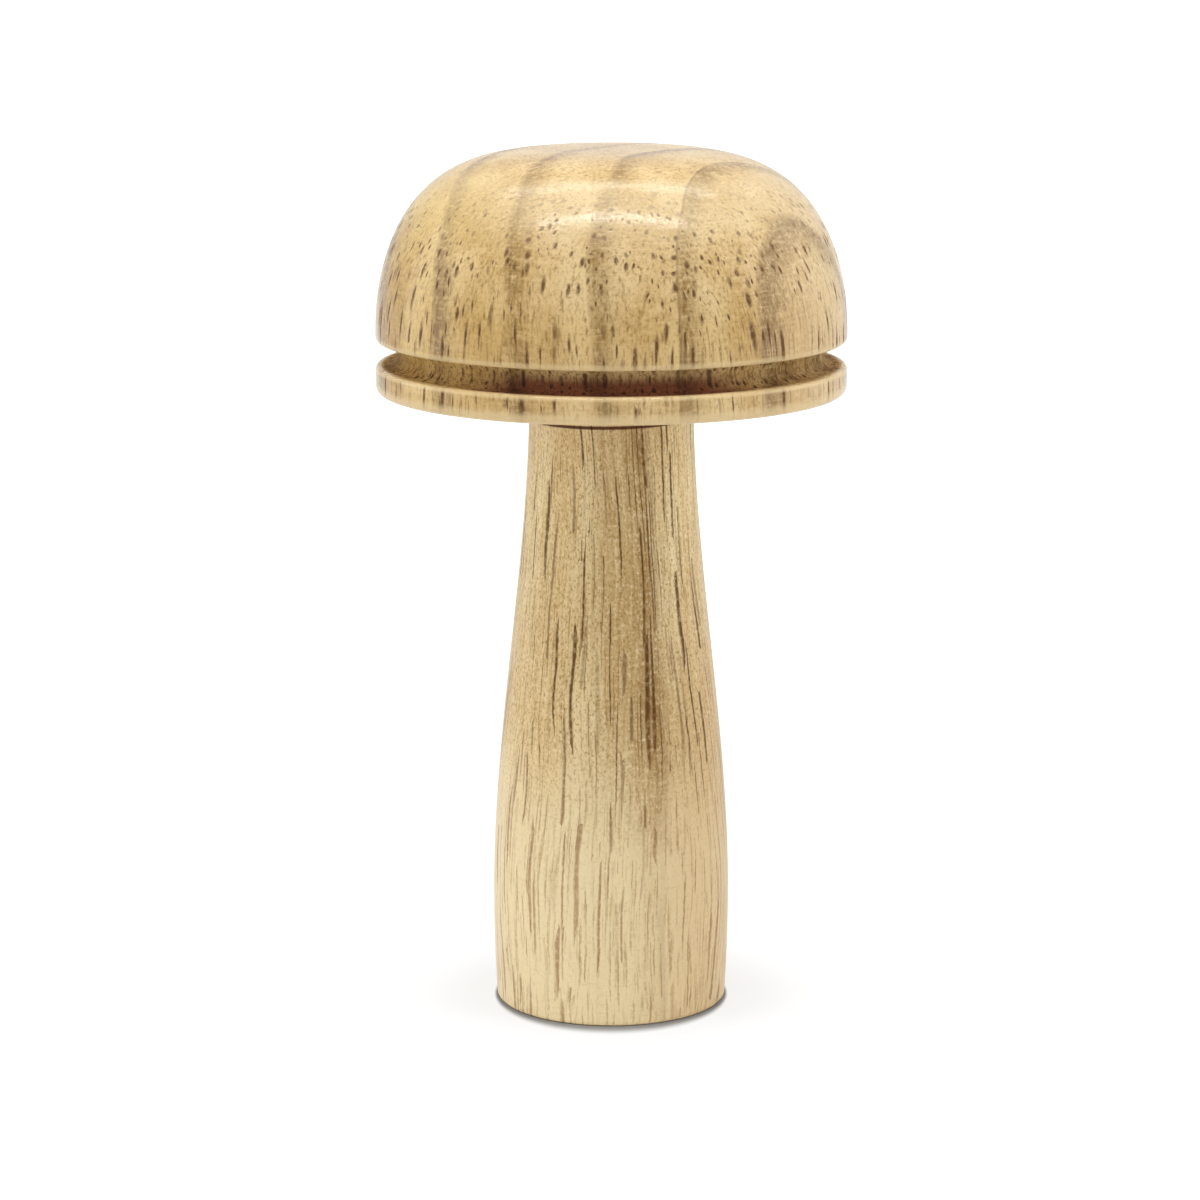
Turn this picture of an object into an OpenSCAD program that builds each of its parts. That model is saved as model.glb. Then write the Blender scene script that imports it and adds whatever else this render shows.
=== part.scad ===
// Darning mushroom: a turned head, a turned hollow handle and the spigot that joins them.
// The origin is the centre of the handle's flat foot, and +Z points up the turning axis.

/* [Head] */
// Width of the head at its widest
head_d = 58; // [52:0.5:72]
// Height of the dome above the groove
dome_h = 23.4; // [18:0.2:32]
// Height of the straight wall at the bottom of the dome
dome_wall_h = 1.2; // [1:0.1:6]
// Fullness of the dome's shoulder: 2 is an ellipse, more is squarer
shoulder_fullness = 3.85; // [2:0.05:5]
// Fullness of the dome's crown: 2 is an ellipse, more is flatter
crown_fullness = 2; // [1.8:0.05:3]
// Rounding of the lower edge of the dome
lip_round = 0.6; // [0.2:0.1:1]

/* [Groove and rim] */
// Width of the groove that holds an elastic band
groove_w = 3; // [2:0.1:4]
// Depth of the groove, with a half-round floor
groove_depth = 3; // [2.6:0.1:6]
// Thickness of the rim below the groove
rim_t = 3.4; // [2:0.1:5]
// Rounding of the rim's upper edge
rim_top_round = 0.5; // [0.2:0.1:0.9]
// Rounding of the rim's lower edge
rim_bottom_round = 0.9; // [0.2:0.1:1]

/* [Handle] */
// Length of the handle from foot to head
handle_l = 77.4; // [60:0.2:100]
// Width across the foot
foot_d = 28.8; // [26:0.1:32]
// Width of the belly, the thickest place of the handle
belly_d = 29.6; // [26:0.1:36]
// Height of the belly above the foot
belly_z = 13.6; // [8:0.2:24]
// Width of the neck, where the handle meets the head
neck_d = 20.3; // [19:0.1:25]
// Rounding of the foot's edge
foot_round = 0.6; // [0.2:0.1:1.5]
// Rounding of the neck's upper edge
neck_round = 0.4; // [0.2:0.1:0.8]

/* [Spigot and needle well] */
// Width of the spigot, a plain dowel
spigot_d = 12; // [9:0.1:13]
// Length of the spigot inside the head
spigot_in_head = 15; // [10:0.5:18]
// Length of the spigot inside the handle
spigot_in_handle = 13; // [8:0.5:16]
// Chamfer on both ends of the spigot
spigot_chamfer = 0.8; // [0.3:0.1:1.5]
// Wood left below the needle well
floor_t = 11.4; // [6:0.2:20]
// Countersink at the mouth of each bore
mouth_chamfer = 0.5; // [0.2:0.1:1]
// Radial gap of the push fit between spigot and handle
push_gap = 0.04; // [0.01:0.01:0.1]
// Radial thickness of the glue between spigot and head
glue_gap = 0.03; // [0.01:0.01:0.1]
// Room for glue above the spigot in the head
glue_room = 1; // [0.5:0.1:2]

/* [Hidden] */
$fn = 128;
curve_steps = 28;
cut_over = 1;
head_r = head_d / 2;
belly_r = belly_d / 2;
neck_r = neck_d / 2;
foot_r = foot_d / 2;
spigot_r = spigot_d / 2;
groove_z = rim_t + groove_w;
head_h = groove_z + dome_h;
dome_z = groove_z + dome_wall_h;
crown_h = dome_h - dome_wall_h;
well_r = spigot_r + push_gap;
well_depth = handle_l - floor_t;
head_bore_r = spigot_r + glue_gap;
head_bore_depth = spigot_in_head + glue_room;
wood = [0.87, 0.75, 0.58];
wood_core = [0.80, 0.66, 0.48];

// Points of an arc round c, from angle a0 to a1
function arc(c, r, a0, a1, steps = 8) =
    [for (i = [0:steps]) let (a = a0 + (a1 - a0) * i / steps) c + r * [cos(a), sin(a)]];

// Outline of the dome above its straight wall, from the shoulder to the top
function dome_curve() =
    [for (i = [0:curve_steps]) let (a = 90 * i / curve_steps)
        [head_r * pow(cos(a), 2 / shoulder_fullness), dome_z + crown_h * pow(sin(a), 2 / crown_fullness)]];

// S-shaped step from 0 to 1, level at both ends
function ease(t) = t * t * (3 - 2 * t);

// Radius of the handle at height z
function handle_r(z) = z < belly_z
    ? belly_r - (belly_r - foot_r) * pow(1 - z / belly_z, 2)
    : belly_r - (belly_r - neck_r) * ease((z - belly_z) / (handle_l - belly_z));

// Outline of the handle between its two rounded edges
function handle_curve() =
    [for (i = [1:curve_steps - 1])
        let (z = foot_round + (handle_l - neck_round - foot_round) * i / curve_steps) [handle_r(z), z]];

// Blind bore along Z, open at z = 0 and running down, with a countersunk mouth
module bore_down(r, depth) {
    translate([0, 0, -depth])
        cylinder(r = r, h = depth + cut_over);
    translate([0, 0, -mouth_chamfer])
        cylinder(r1 = r, r2 = r + 2 * mouth_chamfer, h = 2 * mouth_chamfer);
}

// Head: rim, groove and dome turned from one blank, with a blind bore in its underside
module head() {
    color(wood)
        translate([0, 0, handle_l])
            difference() {
                rotate_extrude()
                    polygon(concat(
                        [[0, 0]],
                        arc([head_r - rim_bottom_round, rim_bottom_round], rim_bottom_round, -90, 0),
                        arc([head_r - rim_top_round, rim_t - rim_top_round], rim_top_round, 0, 90),
                        arc([head_r - groove_depth + groove_w / 2, rim_t + groove_w / 2], groove_w / 2,
                            270, 90, 16),
                        arc([head_r - lip_round, groove_z + lip_round], lip_round, 270, 360),
                        dome_curve()
                    ));
                mirror([0, 0, 1])
                    bore_down(head_bore_r, head_bore_depth);
            }
}

// Spigot: a dowel glued into the head, which pushes into the handle
module spigot() {
    color(wood_core)
        translate([0, 0, handle_l - spigot_in_handle])
            rotate_extrude()
                polygon([
                    [0, 0],
                    [spigot_r - spigot_chamfer, 0],
                    [spigot_r, spigot_chamfer],
                    [spigot_r, spigot_in_handle + spigot_in_head - spigot_chamfer],
                    [spigot_r - spigot_chamfer, spigot_in_handle + spigot_in_head],
                    [0, spigot_in_handle + spigot_in_head]
                ]);
}

// Handle: turned to a soft belly and bored from the top as a needle well
module handle() {
    foot_edge = [handle_r(foot_round) - foot_round, foot_round];
    neck_edge = [neck_r - neck_round, handle_l - neck_round];
    color(wood)
        difference() {
            rotate_extrude()
                polygon(concat(
                    [[0, 0]],
                    arc(foot_edge, foot_round, -90, 0),
                    handle_curve(),
                    arc(neck_edge, neck_round, 0, 90),
                    [[0, handle_l]]
                ));
            translate([0, 0, handle_l])
                bore_down(well_r, well_depth);
        }
}

head();
spigot();
handle();
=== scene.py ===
import math

import bmesh
import bpy
from mathutils import Euler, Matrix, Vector


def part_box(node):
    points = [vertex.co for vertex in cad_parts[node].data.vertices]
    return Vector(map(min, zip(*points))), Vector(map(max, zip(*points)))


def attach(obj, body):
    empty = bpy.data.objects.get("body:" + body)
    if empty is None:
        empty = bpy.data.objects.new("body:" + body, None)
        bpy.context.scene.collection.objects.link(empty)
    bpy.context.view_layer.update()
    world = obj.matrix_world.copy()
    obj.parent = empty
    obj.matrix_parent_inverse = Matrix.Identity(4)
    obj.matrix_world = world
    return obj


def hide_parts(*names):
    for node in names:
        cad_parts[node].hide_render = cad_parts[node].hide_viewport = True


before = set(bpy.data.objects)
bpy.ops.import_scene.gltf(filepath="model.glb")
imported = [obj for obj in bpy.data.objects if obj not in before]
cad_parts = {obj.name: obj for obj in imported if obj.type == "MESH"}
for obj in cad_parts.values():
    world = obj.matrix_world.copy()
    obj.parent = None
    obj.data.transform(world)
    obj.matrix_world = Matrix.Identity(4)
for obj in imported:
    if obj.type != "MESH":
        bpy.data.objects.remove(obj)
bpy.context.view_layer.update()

# Head: one block of rubberwood turned on a lathe to a low dome and a rim, with a half-round
# groove between them for an elastic band. The grain runs up the axis, so the dome shows end
# grain with pores as dots, and the walls show them as streaks. A clear satin lacquer covers it.
mm = 0.001
head_low, head_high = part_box("head")
head_r = head_high.x
underside_z = head_low.z
dome_top_z = head_high.z
rim_t = 3.4 * mm
rim_bottom_round = 0.9 * mm
rim_top_round = 0.5 * mm
groove_w = 3 * mm
groove_depth = 3 * mm
lip_round = 0.6 * mm
dome_wall_h = 1.2 * mm
shoulder_fullness = 3.85
crown_fullness = 2
head_bore_r = 6.03 * mm
head_bore_depth = 16 * mm
mouth_chamfer = 0.5 * mm
dome_steps = 72
turn_steps = 288
groove_steps = 24
merge_distance = 0.002 * mm
sharp_angle = math.radians(28)


def arc(centre_r, centre_z, radius, first, last, steps=8):
    """Points (radius, height) of an arc of an outline, from angle first to last in degrees."""
    angles = [math.radians(first + (last - first) * i / steps) for i in range(steps + 1)]
    return [(centre_r + radius * math.cos(a), centre_z + radius * math.sin(a)) for a in angles]


def turn(name, outline):
    """Turns an outline that starts and ends on the axis into a closed, smooth-shaded solid."""
    shape = bmesh.new()
    points = [shape.verts.new((r, 0, z)) for r, z in outline]
    edges = [shape.edges.new(pair) for pair in zip(points, points[1:])]
    bmesh.ops.spin(shape, geom=points + edges, cent=(0, 0, 0), axis=(0, 0, 1),
                   angle=math.tau, steps=turn_steps, use_merge=True)
    bmesh.ops.remove_doubles(shape, verts=shape.verts, dist=merge_distance)
    bmesh.ops.recalc_face_normals(shape, faces=shape.faces)
    for face in shape.faces:
        face.smooth = True
    for edge in shape.edges:
        edge.smooth = edge.calc_face_angle(0) < sharp_angle
    mesh = bpy.data.meshes.new(name)
    shape.to_mesh(mesh)
    shape.free()
    piece = bpy.data.objects.new(name, mesh)
    bpy.context.scene.collection.objects.link(piece)
    return piece


def node(tree, kind, inputs=None, **settings):
    """Adds a shader node: settings are its properties, inputs are sockets to link or values."""
    made = tree.nodes.new("ShaderNode" + kind)
    for key, value in settings.items():
        setattr(made, key, value)
    for key, value in (inputs or {}).items():
        if isinstance(value, bpy.types.NodeSocket):
            tree.links.new(value, made.inputs[key])
        else:
            made.inputs[key].default_value = value
    return made


def calc(tree, operation, *values):
    """Adds a Math node and returns its output."""
    return node(tree, "Math", dict(enumerate(values)), operation=operation).outputs[0]


def vector_calc(tree, operation, first, second):
    """Adds a Vector Math node and returns its vector."""
    return node(tree, "VectorMath", {0: first, 1: second}, operation=operation).outputs[0]


def vector_length(tree, vector):
    """The length of a vector."""
    return node(tree, "VectorMath", {0: vector}, operation="LENGTH").outputs["Value"]


def level_part(tree, vector):
    """The vector without its height."""
    return vector_calc(tree, "MULTIPLY", vector, (1.0, 1.0, 0.0))


def along(tree, vector, axis):
    """The vector's X, Y or Z."""
    return node(tree, "SeparateXYZ", {0: vector}).outputs[axis]


def place_in_mm(tree):
    """The place on the object, in millimetres."""
    return vector_calc(tree, "MULTIPLY", node(tree, "TexCoord").outputs["Object"], (1 / mm,) * 3)


def ramp(tree, value, low, high, to_low=0.0, to_high=1.0):
    """Maps value smoothly from low..high to to_low..to_high, and holds it outside."""
    inputs = {"Value": value, 1: low, 2: high, 3: to_low, 4: to_high}
    made = node(tree, "MapRange", inputs, interpolation_type="SMOOTHSTEP")
    return made.outputs["Result"]


def noise(tree, place, squeeze, detail=2.0, rough=0.5):
    """Noise whose grain size along each axis is one over squeeze, in millimetres."""
    scaled = vector_calc(tree, "MULTIPLY", place, squeeze)
    inputs = {"Vector": scaled, "Scale": 1.0, "Detail": detail, "Roughness": rough}
    return node(tree, "TexNoise", inputs, noise_dimensions="3D")


def wander(tree, place, squeeze, reach):
    """Shifts place sideways by noise, by up to about a third of reach, in millimetres."""
    shift = vector_calc(tree, "SUBTRACT", noise(tree, place, squeeze, 1.0).outputs["Color"],
                        (0.5, 0.5, 0.5))
    return vector_calc(tree, "ADD", place, vector_calc(tree, "MULTIPLY", shift, (reach, reach, 0.0)))


def vessels(tree, place, outward, spacing, length, thin, thick, oval):
    """Pores of the wood as upright tubes, one in each cell of a tall honeycomb: 1 inside a tube
    and 0 outside it, and a random shade for each tube. Half their width runs from thin to thick,
    and oval, from 0 to 1, draws them out towards the turning axis."""
    scaled = vector_calc(tree, "MULTIPLY", place, (1 / spacing, 1 / spacing, 1 / length))
    cells = node(tree, "TexVoronoi", {"Vector": scaled, "Scale": 1.0, "Randomness": 1.0},
                 voronoi_dimensions="3D", feature="F1")
    chance = node(tree, "SeparateColor", {"Color": cells.outputs["Color"]})
    aside = vector_calc(tree, "SUBTRACT", scaled, cells.outputs["Position"])
    aside = vector_calc(tree, "MULTIPLY", aside, (spacing, spacing, 0.0))
    depth = node(tree, "VectorMath", {0: aside, 1: outward}, operation="DOT_PRODUCT").outputs["Value"]
    spare = node(tree, "VectorMath", {0: outward, "Scale": calc(tree, "MULTIPLY", depth, oval)},
                 operation="SCALE").outputs[0]
    aside = vector_calc(tree, "SUBTRACT", aside, spare)
    width = ramp(tree, chance.outputs[0], 0.2, 1.0, thin, thick)
    from_middle = calc(tree, "DIVIDE", vector_length(tree, aside), width)
    return ramp(tree, from_middle, 1.3, 0.4), chance.outputs[1]


def tint(tree, base, colour, amount, blend="MIX"):
    """Mixes colour over base by amount, or multiplies base by it."""
    made = node(tree, "Mix", {"Factor": amount, 6: base, 7: colour}, data_type="RGBA",
                blend_type=blend)
    return made.outputs[2]


def srgb(red, green, blue):
    """A colour given as it shows on a screen, 0 to 255, as the linear colour that nodes take."""
    screen = [c / 255 for c in (red, green, blue)]
    return [c / 12.92 if c < 0.04045 else ((c + 0.055) / 1.055) ** 2.4 for c in screen] + [1.0]


class Wood:
    """The node tree of a material, and the points at which more can be painted over its wood."""

    def paint(self, colour, amount):
        """Mixes colour over the wood by amount."""
        self.colour = tint(self.tree, self.colour, colour, amount)

    def shade(self, factors, amount):
        """Multiplies the wood's red, green and blue by factors, as far as amount says."""
        self.colour = tint(self.tree, self.colour, (*factors, 1.0), amount, "MULTIPLY")


def rubberwood(name, pith, ring_edge, ring_w, late_w, bold_ring, lean, middle, pale, warm, late,
               pore_spacing, pore_thin, pore_thick, pore_oval, streak_l, fine_tone, grit, jitter,
               clean_share, turned, bow=None, swell=None, heart=None, paler_below=None, dusty_below=None,
               painted_gloss_above=None):
    """Pale rubberwood with upright grain: its material and node tree, and its height in
    millimetres, colour, fibres, lathe marks, pores and specks, to paint more over. pith is where
    the year rings centre, in millimetres from the turning axis; ring_edge is the radius of one
    ring's dark edge, ring_w their spacing, late_w the width of their dark part and bold_ring the
    radius of the one ring with a clear dark line. The grain leans by lean, in radians, about the
    point of the axis at height middle, and follows swell, two heights and the radii there, if
    given. bow gives the height above which the grain bends, and how much. fine_tone says how dark
    the fine pores are, grit the number of light and dark grains in a millimetre, jitter how far
    fibres stray in millimetres, clean_share the share of wide pores without dust, and turned how
    clearly the lathe's marks show. heart gives the middle and half width of a darker stripe.
    Between the two heights of paler_below the wood turns paler, partly its own colour and partly
    painted light; between those of dusty_below more of its pores turn dark; and between those of
    painted_gloss_above its wide pores fade, a painted reflection of the lacquer."""
    pale_foot = srgb(253, 233, 188)
    grain_and_glint_pale = srgb(250, 232, 192)
    fleck_brown = srgb(134, 96, 36)
    line_brown = srgb(110, 72, 26)
    fine_pore_brown = srgb(146, 98, 34)
    clean_pore_brown = srgb(150, 92, 16)
    dusty_pore_brown = srgb(98, 57, 0)
    dust_cover = 0.93
    line_start = 0.93
    unswollen_r = 12.0
    fine_spacing = 0.55
    material = bpy.data.materials.new(name)
    material.use_nodes = True
    tree = material.node_tree
    tree.nodes.clear()
    space = node(tree, "TexCoord").outputs["Object"]
    pivot = Vector((0, 0, middle))
    kept = pivot - Euler(lean).to_matrix() @ pivot
    place = node(tree, "Mapping", {"Vector": space, "Scale": (1 / mm,) * 3, "Rotation": lean,
                                   "Location": kept}).outputs[0]
    height = along(tree, place, "Z")
    if bow:
        above = calc(tree, "MAXIMUM", calc(tree, "SUBTRACT", height, bow[0]), 0.0)
        bend = calc(tree, "MULTIPLY", calc(tree, "MULTIPLY", above, above), bow[1])
        place = vector_calc(tree, "ADD", place, node(tree, "CombineXYZ", {"Y": bend}).outputs[0])
    if swell:
        spread = calc(tree, "DIVIDE", unswollen_r, ramp(tree, height, *swell))
        spread = node(tree, "CombineXYZ", {"X": spread, "Y": spread, "Z": 1.0}).outputs[0]
        place = vector_calc(tree, "MULTIPLY", place, spread)
    level = level_part(tree, place)
    off_axis = vector_length(tree, level)
    outward = node(tree, "VectorMath", {0: level}, operation="NORMALIZE").outputs[0]

    # The grain wanders slowly in and out of the surface as it goes up
    broad = wander(tree, place, (0.05, 0.05, 0.022), 5.0)
    grain = wander(tree, broad, (0.3, 0.3, 0.08), 1.1)
    grain = wander(tree, grain, (2.2, 2.2, 1.2), jitter)

    # Year rings: each darkens outwards, and some end in a thin dark line
    ring_r = vector_length(tree, level_part(tree, vector_calc(tree, "SUBTRACT", broad, pith)))
    ring = calc(tree, "DIVIDE", calc(tree, "SUBTRACT", ring_r, ring_edge), ring_w)
    ring = calc(tree, "FRACT", ring)
    late_wood = calc(tree, "MULTIPLY", ramp(tree, ring, 1.0 - late_w / ring_w, line_start),
                     ramp(tree, ring, 1.0, 0.9))
    worn = noise(tree, broad, (0.12, 0.12, 0.08)).outputs["Fac"]
    late_wood = calc(tree, "MULTIPLY", late_wood, ramp(tree, worn, 0.35, 0.6, 0.55, 1.0))
    ring_line = calc(tree, "MULTIPLY", ramp(tree, ring, line_start, 0.975),
                     ramp(tree, ring, 1.0, 0.98))
    near_bold = calc(tree, "ABSOLUTE", calc(tree, "SUBTRACT", ring_r, bold_ring))
    ring_line = calc(tree, "MULTIPLY", ring_line, ramp(tree, near_bold, 3.0, 2.0, 0.25, 1.0))
    ring_line = calc(tree, "MULTIPLY", ring_line, ramp(tree, worn, 0.35, 0.6, 0.25, 0.7))

    # Faint rings that sanding on the lathe leaves round the axis
    around = vector_calc(tree, "MULTIPLY", outward, (6.0, 6.0, 0.0))
    around = vector_calc(tree, "ADD", around, vector_calc(tree, "MULTIPLY", place, (0.0, 0.0, 3.6)))
    marks = node(tree, "TexNoise", {"Vector": around, "W": calc(tree, "MULTIPLY", off_axis, 3.6),
                                    "Scale": 1.0, "Detail": 2.0, "Roughness": 0.6},
                 noise_dimensions="4D").outputs["Fac"]

    # Fibres, broad clouds of tone, grains of dark and of light, the light ones partly painted glints,
    # and a fine ripple across the grain
    fibre = noise(tree, grain, (2.6, 2.6, 0.08), 4.0, 0.6).outputs["Fac"]
    cloud = noise(tree, broad, (0.17, 0.17, 0.03)).outputs["Fac"]
    speck = noise(tree, place, (grit, grit, grit * 0.65), 3.0, 0.75).outputs["Fac"]
    ripple = noise(tree, place, (0.5, 0.5, 1.8)).outputs["Fac"]
    smudge = noise(tree, broad, (0.7, 0.7, 0.3)).outputs["Fac"]
    colour = tint(tree, pale, warm, ramp(tree, cloud, 0.3, 0.66))
    stripe = 0.0
    still_dark = 1.0
    if heart:
        across = calc(tree, "SUBTRACT", along(tree, broad, "X"), heart[0])
        across = calc(tree, "ABSOLUTE", across)
        stripe = ramp(tree, across, heart[1] * 1.6, heart[1] * 0.5, 0.0, 0.4)
    # Paler towards the foot: partly the wood's own colour and partly painted light, for the floor's
    # bounce and less shade from the head
    if paler_below:
        low_down = ramp(tree, height, paler_below[0], paler_below[1])
        colour = tint(tree, colour, pale_foot, calc(tree, "MULTIPLY", low_down, 0.9))
        still_dark = calc(tree, "SUBTRACT", 1.0, calc(tree, "MULTIPLY", low_down, 0.85))
        stripe = calc(tree, "MULTIPLY", stripe, still_dark)
        late_wood = calc(tree, "MULTIPLY", late_wood, still_dark)
    colour = tint(tree, colour, late, stripe)
    colour = tint(tree, colour, late, calc(tree, "MULTIPLY", late_wood, 0.85))
    colour = tint(tree, colour, late, ramp(tree, fibre, 0.5, 0.72, 0.0, 0.7))
    colour = tint(tree, colour, pale, ramp(tree, fibre, 0.48, 0.28, 0.0, 0.7))
    colour = tint(tree, colour, pale, ramp(tree, ripple, 0.5, 0.75, 0.0, 0.5))
    colour = tint(tree, colour, pale, ramp(tree, marks, 0.5, 0.75, 0.0, turned))
    colour = tint(tree, colour, late, ramp(tree, marks, 0.46, 0.25, 0.0, turned * 0.6))
    # Pale grains: partly the wood's own specks and partly painted glints
    colour = tint(tree, colour, grain_and_glint_pale, ramp(tree, speck, 0.46, 0.3, 0.0, fine_tone))
    speck_dark = ramp(tree, speck, 0.51, 0.68, 0.0, 0.2 + fine_tone)
    speck_dark = calc(tree, "MULTIPLY", speck_dark, still_dark)
    colour = tint(tree, colour, late, speck_dark)
    flecks = calc(tree, "ADD", ramp(tree, speck, 0.5, 0.62, 0.0, 0.7), ramp(tree, smudge, 0.54, 0.68))
    flecks = calc(tree, "MULTIPLY", flecks, late_wood)
    colour = tint(tree, colour, fleck_brown, calc(tree, "MULTIPLY", flecks, 0.45))
    colour = tint(tree, colour, line_brown, ring_line)

    # Pores: many fine pale-brown ones, and fewer wide ones that are filled with dark dust
    fine, fine_shade = vessels(tree, grain, outward, fine_spacing, streak_l * 0.6, 0.05, 0.09,
                               pore_oval)
    wide, wide_shade = vessels(tree, grain, outward, pore_spacing, streak_l, pore_thin, pore_thick,
                               pore_oval)
    beads = noise(tree, grain, (2.4, 2.4, 1.4)).outputs["Fac"]
    beads = ramp(tree, beads, 0.36, 0.52, 0.68, 1.0)
    in_pale = calc(tree, "ADD", 0.65, calc(tree, "MULTIPLY", still_dark, 0.35))
    fine_dark = calc(tree, "MULTIPLY", fine, ramp(tree, fine_shade, 0.4, 1.0, 0.0, fine_tone))
    fine_dark = calc(tree, "MULTIPLY", fine_dark, in_pale)
    wide_shade = calc(tree, "ADD", wide_shade, calc(tree, "MULTIPLY", late_wood, 0.4))
    if dusty_below:
        wide_shade = calc(tree, "ADD", wide_shade, ramp(tree, height, *dusty_below, 0.0, 0.5))
        fine_dark = calc(tree, "MULTIPLY", fine_dark, ramp(tree, height, *dusty_below, 1.0, 3.4))
    wide_shade = ramp(tree, wide_shade, clean_share, clean_share + 0.42)
    wide_dark = calc(tree, "MULTIPLY", wide, wide_shade)
    wide_dark = calc(tree, "MULTIPLY", calc(tree, "MULTIPLY", wide_dark, beads), in_pale)
    # Painted reflection: the wide pores fade with height, as if washed out by the lacquer's gloss
    if painted_gloss_above:
        wide_dark = calc(tree, "MULTIPLY", wide_dark, ramp(tree, height, *painted_gloss_above, 1.0, 0.3))
    pore_colour = tint(tree, clean_pore_brown, dusty_pore_brown, still_dark)
    colour = tint(tree, colour, fine_pore_brown, fine_dark)
    colour = tint(tree, colour, pore_colour, calc(tree, "MULTIPLY", wide_dark, dust_cover))

    wood = Wood()
    wood.material = material
    wood.tree = tree
    wood.height = height
    wood.colour = colour
    wood.fibre = fibre
    wood.marks = calc(tree, "MULTIPLY", marks, turned * 2)
    wood.pores = wide_dark
    wood.speck = speck
    wood.matt = 0.0
    return wood


def lacquered(wood, gloss_rough, gloss, fuzz=0.0):
    """Closes the material with a clear lacquer, which sinks a little into pores and fibres and
    leaves dusty pores matt. A gloss of 0.5 is a full coat, and less is a thinner one, through
    which fine fibres stand up as fuzz. With a gloss_rough of 0.6 the wood looks bare."""
    sink_depth = 0.08 * mm
    lacquer_ior = 1.5
    tree = wood.tree
    sunk = calc(tree, "SUBTRACT", calc(tree, "MULTIPLY", wood.fibre, 0.5), wood.pores)
    sunk = calc(tree, "ADD", sunk, wood.marks)
    bump = node(tree, "Bump", {"Height": sunk, "Strength": 0.35, "Distance": sink_depth})
    rough = ramp(tree, wood.fibre, 0.3, 0.7, gloss_rough - 0.04, gloss_rough + 0.1)
    rough = calc(tree, "MAXIMUM", rough, wood.matt)
    rough = calc(tree, "MAXIMUM", rough, calc(tree, "MULTIPLY", wood.pores, 0.75))
    shader = node(tree, "BsdfPrincipled", {"Base Color": wood.colour, "Roughness": rough,
                                           "Normal": bump.outputs["Normal"], "IOR": lacquer_ior,
                                           "Specular IOR Level": gloss, "Sheen Weight": fuzz,
                                           "Sheen Roughness": 0.35})
    output = node(tree, "OutputMaterial")
    tree.links.new(shader.outputs[0], output.inputs["Surface"])
    return wood.material


rim_top_z = underside_z + rim_t
lip_z = rim_top_z + groove_w
shoulder_z = lip_z + dome_wall_h
groove_r = groove_w / 2
head_outline = [(0, underside_z + head_bore_depth), (head_bore_r, underside_z + head_bore_depth),
                (head_bore_r, underside_z + mouth_chamfer), (head_bore_r + mouth_chamfer, underside_z)]
head_outline += arc(head_r - rim_bottom_round, underside_z + rim_bottom_round, rim_bottom_round, -90, 0)
head_outline += arc(head_r - rim_top_round, rim_top_z - rim_top_round, rim_top_round, 0, 90)
head_outline += arc(head_r - groove_depth + groove_r, rim_top_z + groove_r, groove_r, 270, 90,
                    groove_steps)
head_outline += arc(head_r - lip_round, lip_z + lip_round, lip_round, -90, 0)
for step in range(dome_steps + 1):
    angle = math.pi / 2 * step / dome_steps
    out = max(math.cos(angle), 0) ** (2 / shoulder_fullness)
    up = math.sin(angle) ** (2 / crown_fullness)
    head_outline.append((head_r * out, shoulder_z + (dome_top_z - shoulder_z) * up))
head_outline[-1] = (0, dome_top_z)

head = turn("turned_head", head_outline)
head_wood = rubberwood(
    "lacquered_head_wood", pith=(38.5, -22.5, 0.0), ring_edge=31.0, ring_w=9.7, late_w=3.8,
    bold_ring=31.0, lean=(-0.05, 0.01, 0.0), middle=92.0, pale=srgb(236, 207, 153),
    warm=srgb(212, 176, 115), late=srgb(134, 98, 36), pore_spacing=1.12, pore_thin=0.13,
    pore_thick=0.34, pore_oval=0.1, streak_l=14.0, fine_tone=0.2, grit=2.8, jitter=0.16,
    clean_share=0.28, turned=0.3, bow=(84.5, 0.009), dusty_below=(92.0, 86.5),
    painted_gloss_above=(102.0, 106.0))

# Painted light on the dome: a painted sheen makes its shoulder paler, and painted shade makes it
# browner on top, low down and on its left side. The groove's grain is a little torn, painted shade
# darkens the groove red-brown, most at its front, and painted highlights make the edges round the
# groove and the rim's lower edge pale
tree = head_wood.tree
space = place_in_mm(tree)
side_x = along(tree, space, "X")
front_y = along(tree, space, "Y")
height = along(tree, space, "Z")
off_axis = vector_length(tree, level_part(tree, space))
edge_r = head_r / mm
rim_low = underside_z / mm
groove_low = rim_low + rim_t / mm
groove_top = groove_low + groove_w / mm
shoulder_zone = (96.0, 102.0)
crown_zone = (106.0, 104.0)
top_zone = (103.5, 106.5)
wall_zone = (94.0, 86.0)
left_side_zone = (-8.0, -24.0)
front_shade_zone = (-20.5, -24.5)
shoulder_sheen_pale = srgb(240, 218, 174)
torn_brown = srgb(74, 48, 22)
edge_highlight_pale = srgb(242, 215, 162)
wall_shade_tone = (0.93, 0.88, 0.74)
top_shade_tone = (0.99, 0.96, 0.84)
left_side_shade_tone = (0.92, 0.87, 0.62)
groove_shade_tone = (1.0, 1.0, 0.93)
groove_front_shade_tone = (0.34, 0.153, 0.135)

inside = calc(tree, "MULTIPLY", ramp(tree, off_axis, edge_r - 0.4, edge_r - 1.0),
              ramp(tree, off_axis, edge_r - 8.0, edge_r - 7.0))
inside = calc(tree, "MULTIPLY", inside, ramp(tree, height, groove_low - 0.3, groove_low - 0.1))
inside = calc(tree, "MULTIPLY", inside, ramp(tree, height, groove_top + 0.2, groove_top))
# Painted sheen: the dome's shoulder is painted paler
shoulder = calc(tree, "MULTIPLY", ramp(tree, height, *shoulder_zone), ramp(tree, height, *crown_zone))
head_wood.paint(shoulder_sheen_pale, calc(tree, "MULTIPLY", shoulder, 0.35))
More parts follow.
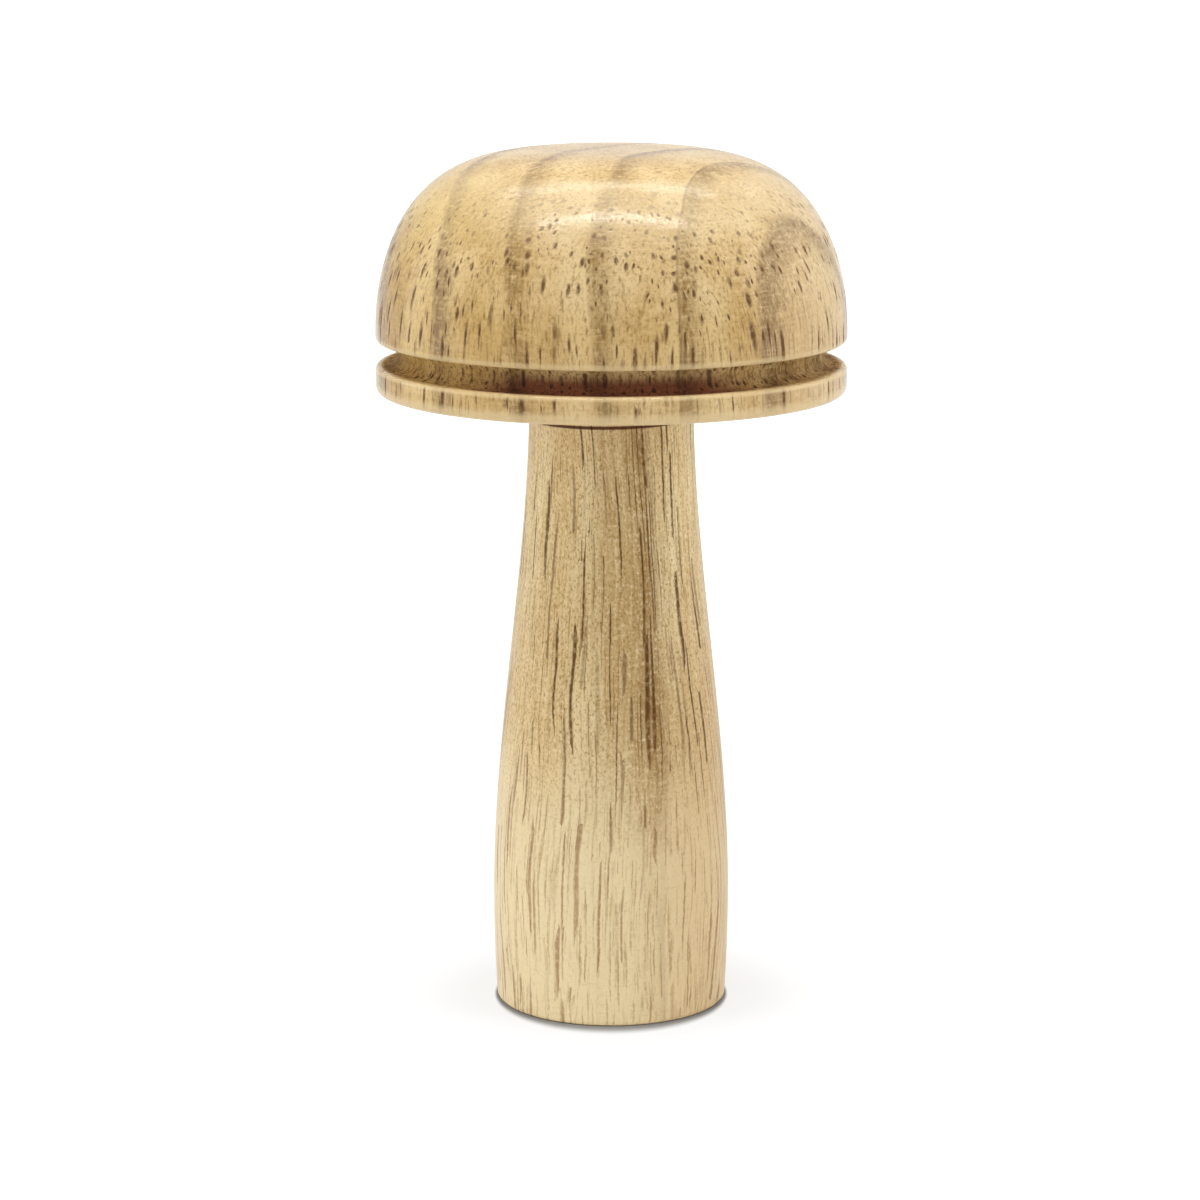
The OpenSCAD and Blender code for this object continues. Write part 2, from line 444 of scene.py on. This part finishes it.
# Painted shade: the dome's lower wall is painted browner
low_down = calc(tree, "MULTIPLY", ramp(tree, height, *wall_zone),
                ramp(tree, height, groove_top - 0.2, groove_top + 0.2, 0.5, 1.0))
head_wood.shade(wall_shade_tone, low_down)
# Painted shade: the dome's top is painted a little browner
head_wood.shade(top_shade_tone, ramp(tree, height, *top_zone))
# Painted shade: the dome's left side is painted browner
head_wood.shade(left_side_shade_tone, ramp(tree, side_x, *left_side_zone))
# Painted shade: the groove is painted darker and red-brown, four times as strongly at its front as at
# its back
head_wood.shade(groove_shade_tone, inside)
groove_painted_shade = ramp(tree, height, groove_low + 0.9, groove_top - 0.4, 1.0, 0.1)
groove_painted_shade = calc(tree, "MULTIPLY", groove_painted_shade, ramp(tree, front_y, *front_shade_zone, 0.25, 1.0))
head_wood.shade(groove_front_shade_tone, calc(tree, "MULTIPLY", inside, groove_painted_shade))
torn = calc(tree, "MULTIPLY", ramp(tree, head_wood.speck, 0.5, 0.62, 0.0, 0.42), inside)
head_wood.paint(torn_brown, torn)
head_wood.matt = calc(tree, "MULTIPLY", inside, 0.85)
# Painted highlights: the rim's upper and lower edges and the lip above the groove are painted pale
rim_edge = calc(tree, "MULTIPLY", ramp(tree, height, groove_low - 0.7, groove_low - 0.3, 0.0, 0.7),
                ramp(tree, height, groove_low + 0.1, groove_low - 0.05))
rim_foot = calc(tree, "MULTIPLY", ramp(tree, height, rim_low + 1.8, rim_low + 0.6, 0.0, 0.85),
                ramp(tree, height, rim_low - 0.1, rim_low))
lip_edge = calc(tree, "MULTIPLY", ramp(tree, height, groove_top + 1.0, groove_top + 0.4, 0.0, 0.6),
                ramp(tree, height, groove_top - 0.05, groove_top + 0.1))
rim_edge = calc(tree, "MAXIMUM", rim_edge, lip_edge)
painted_edge_highlight = calc(tree, "MULTIPLY", calc(tree, "MAXIMUM", rim_edge, rim_foot),
              ramp(tree, off_axis, edge_r - 1.2, edge_r - 0.6))
head_wood.paint(edge_highlight_pale, calc(tree, "MULTIPLY", painted_edge_highlight, 0.85))
head.data.materials.append(lacquered(head_wood, 0.14, 0.5))
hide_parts("head")
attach(head, "head")

# Spigot: a plain pale dowel with chamfered ends, glued into the head's blind bore. Its
# lower half is a push fit in the handle. It is bare wood, sanded along its length.
spigot_low, spigot_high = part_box("spigot")
spigot_r = spigot_high.x
spigot_chamfer = 0.8 * mm
spigot_edge_steps = 6
spigot_outline = [(0, spigot_low.z), (spigot_r - spigot_chamfer, spigot_low.z)]
for step in range(spigot_edge_steps + 1):
    share = step / spigot_edge_steps
    edge_z = spigot_low.z + spigot_chamfer
    edge_z += (spigot_high.z - spigot_low.z - 2 * spigot_chamfer) * share
    spigot_outline.append((spigot_r, edge_z))
spigot_outline += [(spigot_r - spigot_chamfer, spigot_high.z), (0, spigot_high.z)]
spigot = turn("glued_spigot", spigot_outline)
dowel_wood = rubberwood(
    "bare_dowel_wood", pith=(-60.0, 30.0, 0.0), ring_edge=40.0, ring_w=6.0, late_w=2.5,
    bold_ring=0.0, lean=(0.03, -0.02, 0.4), middle=78.0, pale=srgb(230, 202, 152),
    warm=srgb(216, 182, 128), late=srgb(194, 156, 100), pore_spacing=1.0, pore_thin=0.06,
    pore_thick=0.12, pore_oval=0.6, streak_l=18.0, fine_tone=0.5, grit=3.6,
    jitter=0.2, clean_share=0.5, turned=0.0)
spigot.data.materials.append(lacquered(dowel_wood, 0.6, 0.3))
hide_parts("spigot")
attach(spigot, "head")

# Handle: turned from its own blank to a slim neck, a soft belly and a flat foot, then bored
# from the top as a well for needles. Its lacquer is thinner and it looks more matt.
handle_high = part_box("handle")[1]
handle_l = handle_high.z
belly_r = handle_high.x
foot_r = 14.4 * mm
belly_z = 13.6 * mm
neck_r = 10.15 * mm
foot_round = 0.6 * mm
neck_round = 0.4 * mm
well_r = 6.04 * mm
well_floor_z = 11.4 * mm
handle_steps = 84


def handle_r(height):
    """Radius of the handle: it swells from the foot to the belly and eases in to the neck."""
    if height < belly_z:
        return belly_r - (belly_r - foot_r) * (1 - height / belly_z) ** 2
    share = (height - belly_z) / (handle_l - belly_z)
    return belly_r - (belly_r - neck_r) * share * share * (3 - 2 * share)


side_l = handle_l - foot_round - neck_round
handle_outline = [(0, 0)]
handle_outline += arc(handle_r(foot_round) - foot_round, foot_round, foot_round, -90, 0)
for step in range(1, handle_steps):
    side_z = foot_round + side_l * step / handle_steps
    handle_outline.append((handle_r(side_z), side_z))
handle_outline += arc(neck_r - neck_round, handle_l - neck_round, neck_round, 0, 90)
handle_outline += [(well_r + mouth_chamfer, handle_l), (well_r, handle_l - mouth_chamfer),
                   (well_r, well_floor_z), (0, well_floor_z)]
handle = turn("turned_handle", handle_outline)
handle_wood = rubberwood(
    "sanded_handle_wood", pith=(-36.0, -14.0, 0.0), ring_edge=42.2, ring_w=17.0, late_w=5.0,
    bold_ring=0.0, lean=(-0.01, 0.015, 0.0), middle=40.0, pale=srgb(247, 223, 171),
    warm=srgb(228, 196, 136), late=srgb(172, 132, 70), pore_spacing=0.95, pore_thin=0.09,
    pore_thick=0.28, pore_oval=0.65, streak_l=12.0, fine_tone=0.75, grit=3.6, jitter=0.18,
    clean_share=0.38, turned=0.25,
    swell=(belly_z / mm, handle_l / mm, belly_r / mm, neck_r / mm), heart=(2.5, 4.5),
    paler_below=(42.0, 18.0))

# Painted light makes the neck paler beside its dark stripe, and painted shade makes its right side
# a little browner lower down. A thin dark red-brown ring runs round the outside, just under the head
tree = handle_wood.tree
space = place_in_mm(tree)
side_x = along(tree, space, "X")
neck_zone = (48.0, 66.0)
stripe_x = -2.2
shaded_side_zone = (1.0, 12.0)
shaded_height_zone = (58.0, 30.0)
neck_ring_drop = 3.05
neck_ring_zone = (0.28, 0.13)
outside_zone = (8.0, 9.0)
neck_light_tone = (1.09, 1.15, 1.2)
right_side_shade_tone = (0.82, 0.75, 0.67)
neck_ring_brown = srgb(78, 26, 8)

# Painted light: the neck is painted paler beside its dark stripe
beside = calc(tree, "ABSOLUTE", calc(tree, "SUBTRACT", side_x, stripe_x))
neck_painted_light = calc(tree, "MULTIPLY", ramp(tree, beside, 2.0, 9.0, 0.35, 1.0),
                 ramp(tree, handle_wood.height, *neck_zone))
handle_wood.shade(neck_light_tone, neck_painted_light)
# Painted shade: the handle's right side is painted a little browner lower down
lower_right_shade = calc(tree, "MULTIPLY", ramp(tree, side_x, *shaded_side_zone),
                ramp(tree, handle_wood.height, *shaded_height_zone))
handle_wood.shade(right_side_shade_tone, lower_right_shade)
# A thin dark red-brown ring round the outside, about 3 mm below the handle's top
neck_dark_ring = calc(tree, "SUBTRACT", handle_wood.height, handle_l / mm - neck_ring_drop)
neck_dark_ring = ramp(tree, calc(tree, "ABSOLUTE", neck_dark_ring), *neck_ring_zone, 0.0, 0.92)
off_axis = vector_length(tree, level_part(tree, space))
neck_dark_ring = calc(tree, "MULTIPLY", neck_dark_ring, ramp(tree, off_axis, *outside_zone))
handle_wood.paint(neck_ring_brown, neck_dark_ring)
handle_wood.matt = calc(tree, "MULTIPLY", neck_dark_ring, 0.9)
handle.data.materials.append(lacquered(handle_wood, 0.4, 0.3, 0.22))
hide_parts("handle")
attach(handle, "handle")

# Stage: a white table top whose glow, seen by the camera and in reflections, turns it into the white
# background, and which keeps a faint real shadow. The glow fades out close to the foot, which paints
# a dark contact shadow there, wider in front and behind than at the sides.
floor_half = 3.0
table_grey = (0.8, 0.8, 0.8, 1.0)
seen_grey = (0.3, 0.3, 0.3, 1.0)
reflected_glow = 0.7
side_reach = 0.15
shade_start = 0.4 * mm
shade_end = 3.4 * mm
floor_shape = bmesh.new()
bmesh.ops.create_grid(floor_shape, x_segments=1, y_segments=1, size=floor_half)
floor_mesh = bpy.data.meshes.new("table_top")
floor_shape.to_mesh(floor_mesh)
floor_shape.free()
floor = bpy.data.objects.new("table_top", floor_mesh)
bpy.context.scene.collection.objects.link(floor)
white = bpy.data.materials.new("white_table")
white.use_nodes = True
white_tree = white.node_tree
white_tree.nodes.clear()
light_path = node(white_tree, "LightPath")
glow_rays = calc(white_tree, "MAXIMUM", light_path.outputs["Is Camera Ray"],
                 light_path.outputs["Is Transmission Ray"])
seen_rays = calc(white_tree, "MAXIMUM", glow_rays, light_path.outputs["Is Glossy Ray"])
glow_rays = calc(white_tree, "MAXIMUM", glow_rays,
                 calc(white_tree, "MULTIPLY", light_path.outputs["Is Glossy Ray"], reflected_glow))
floor_tone = tint(white_tree, table_grey, seen_grey, seen_rays)
matt = node(white_tree, "BsdfDiffuse", {"Color": floor_tone})
floor_place = node(white_tree, "TexCoord").outputs["Object"]
far_off = vector_length(white_tree, floor_place)
facing = calc(white_tree, "DIVIDE", along(white_tree, floor_place, "Y"), far_off)
facing = calc(white_tree, "MULTIPLY", facing, facing)
shade_reach = calc(white_tree, "MULTIPLY", facing, 1 - side_reach)
shade_reach = calc(white_tree, "ADD", side_reach, shade_reach)
off_foot = calc(white_tree, "DIVIDE", calc(white_tree, "SUBTRACT", far_off, foot_r), shade_reach)
# Painted shadow: the glow starts only outside the foot, so a thin ring round it stays dark, wider in
# front and behind
floor_glow = calc(white_tree, "ADD", ramp(white_tree, off_foot, shade_start, shade_end, 0.0, 0.68),
                  ramp(white_tree, far_off, 0.0162, 0.03, 0.0, 0.1))
floor_glow = calc(white_tree, "ADD", floor_glow, ramp(white_tree, far_off, 0.03, 0.6, 0.0, 0.4))
glow_strength = calc(white_tree, "MULTIPLY", glow_rays, floor_glow)
glow = node(white_tree, "Emission", {"Color": (1.0, 1.0, 1.0, 1.0), "Strength": glow_strength})
both = node(white_tree, "AddShader", {0: matt.outputs[0], 1: glow.outputs[0]})
white_tree.links.new(both.outputs[0], node(white_tree, "OutputMaterial").inputs["Surface"])
floor.data.materials.append(white)

# Light: a white tent, reflected darker on the camera's side, with two light strips in its roof
# that show as soft bands on the dome, and a soft lamp on each side.
tent_low = 0.62
tent_high = 0.64
mirror_dark = 0.15
mirror_light = 0.8
world = bpy.data.worlds.new("white_tent")
bpy.context.scene.world = world
world.use_nodes = True
tent = world.node_tree
tent.nodes.clear()
toward = node(tent, "SeparateXYZ", {0: node(tent, "TexCoord").outputs["Generated"]})
tent_light = ramp(tent, toward.outputs["Z"], 0.0, 0.9, tent_low, tent_high)
tent_rays = node(tent, "LightPath")
tent_seen = calc(tent, "MAXIMUM", tent_rays.outputs["Is Camera Ray"],
                 tent_rays.outputs["Is Transmission Ray"])
tent_gloss = calc(tent, "MAXIMUM",
                  ramp(tent, toward.outputs["Y"], -0.7, 0.3, mirror_dark, mirror_light),
                  ramp(tent, toward.outputs["Z"], 0.55, 0.95, mirror_dark, mirror_light))
tent_light = node(tent, "Mix", {"Factor": tent_rays.outputs["Is Glossy Ray"], 2: tent_light,
                                3: tent_gloss}, data_type="FLOAT").outputs[0]
tent_light = node(tent, "Mix", {"Factor": tent_seen, 2: tent_light, 3: 1.0},
                  data_type="FLOAT").outputs[0]
tent_back = node(tent, "Background", {"Color": (1.0, 1.0, 1.0, 1.0), "Strength": tent_light})
tent.links.new(tent_back.outputs[0], node(tent, "OutputWorld").inputs["Surface"])

focus = Vector((0, 0, dome_top_z / 2))


def lamp(name, place, size_x, size_y, watts):
    """A rectangular soft lamp that faces the middle of the object."""
    light = bpy.data.lights.new(name, "AREA")
    light.shape = "RECTANGLE"
    light.size = size_x
    light.size_y = size_y
    light.energy = watts
    made = bpy.data.objects.new(name, light)
    made.location = place
    made.rotation_mode = "QUATERNION"
    made.rotation_quaternion = (Vector(place) - focus).to_track_quat("Z", "Y")
    bpy.context.scene.collection.objects.link(made)


lamp("roof_panel", (0, -0.12, 0.52), 0.6, 0.4, 0.36)
lamp("roof_strip_back", (0, 0.125, 0.41), 0.34, 0.015, 0.17)
lamp("roof_strip_front", (0, -0.1, 0.41), 0.34, 0.016, 0.45)
for name, side in (("left_lamp", -1), ("right_lamp", 1)):
    lamp(name, (0.45 * side, 0.04, 0.14), 0.4, 0.4, 0.5)

# Camera: a portrait lens a little above the dome, looking slightly down, as in the photograph.
camera_distance = 0.470
camera_height = 0.1476
camera_aside = -0.0014
camera_pitch = math.radians(11.62)
camera_lens = 115.4
camera_sensor = 36
camera = bpy.data.objects.new("camera", bpy.data.cameras.new("camera"))
camera.data.sensor_width = camera_sensor
camera.data.lens = camera_lens
camera.location = (camera_aside, -camera_distance, camera_height)
camera.rotation_euler = (math.pi / 2 - camera_pitch, 0, 0)
bpy.context.scene.collection.objects.link(camera)
bpy.context.scene.camera = camera

bpy.context.scene.view_settings.view_transform = "Standard"
